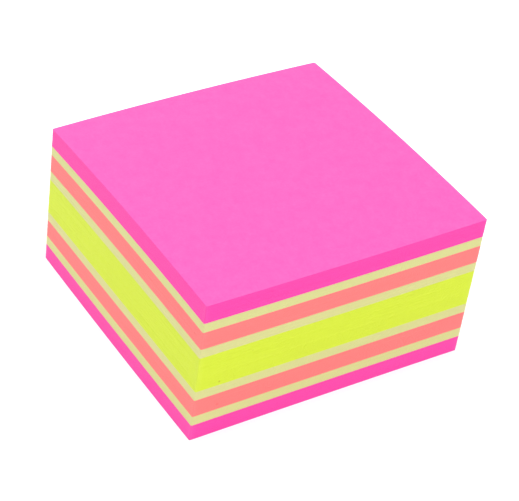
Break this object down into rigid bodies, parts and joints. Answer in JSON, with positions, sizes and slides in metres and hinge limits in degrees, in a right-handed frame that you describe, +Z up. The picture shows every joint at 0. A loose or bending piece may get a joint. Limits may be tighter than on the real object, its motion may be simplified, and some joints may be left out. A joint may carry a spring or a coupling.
{
  "type": "sticky note pad",
  "caption": "Thick square cube-style pad of sticky notes in stacked runs of pink, pale yellow, coral and neon yellow paper, free-standing on its flat backing sheet.",
  "frame": {"origin": "centre of the square foot, on the underside of the backing sheet, where the pad meets the desk", "axes": "+Z up through the stack, +X and +Y along the two edges of the square notes"},
  "size_m": [0.076, 0.076, 0.0402],
  "materials": {
    "backing_paper": "satin",
    "pink_paper": "matte",
    "pale_yellow_paper": "matte",
    "coral_paper": "matte",
    "neon_yellow_paper": "matte"
  },
  "bodies": {
    "root": {"backing_sheet": "backing_paper", "pink_notes_bottom": "pink_paper", "pale_notes_first": "pale_yellow_paper", "coral_notes_lower": "coral_paper", "pale_notes_second": "pale_yellow_paper", "neon_notes_middle": "neon_yellow_paper", "pale_notes_third": "pale_yellow_paper", "coral_notes_upper": "coral_paper", "pale_notes_fourth": "pale_yellow_paper", "pink_notes_top": "pink_paper"}
  },
  "joints": []
}
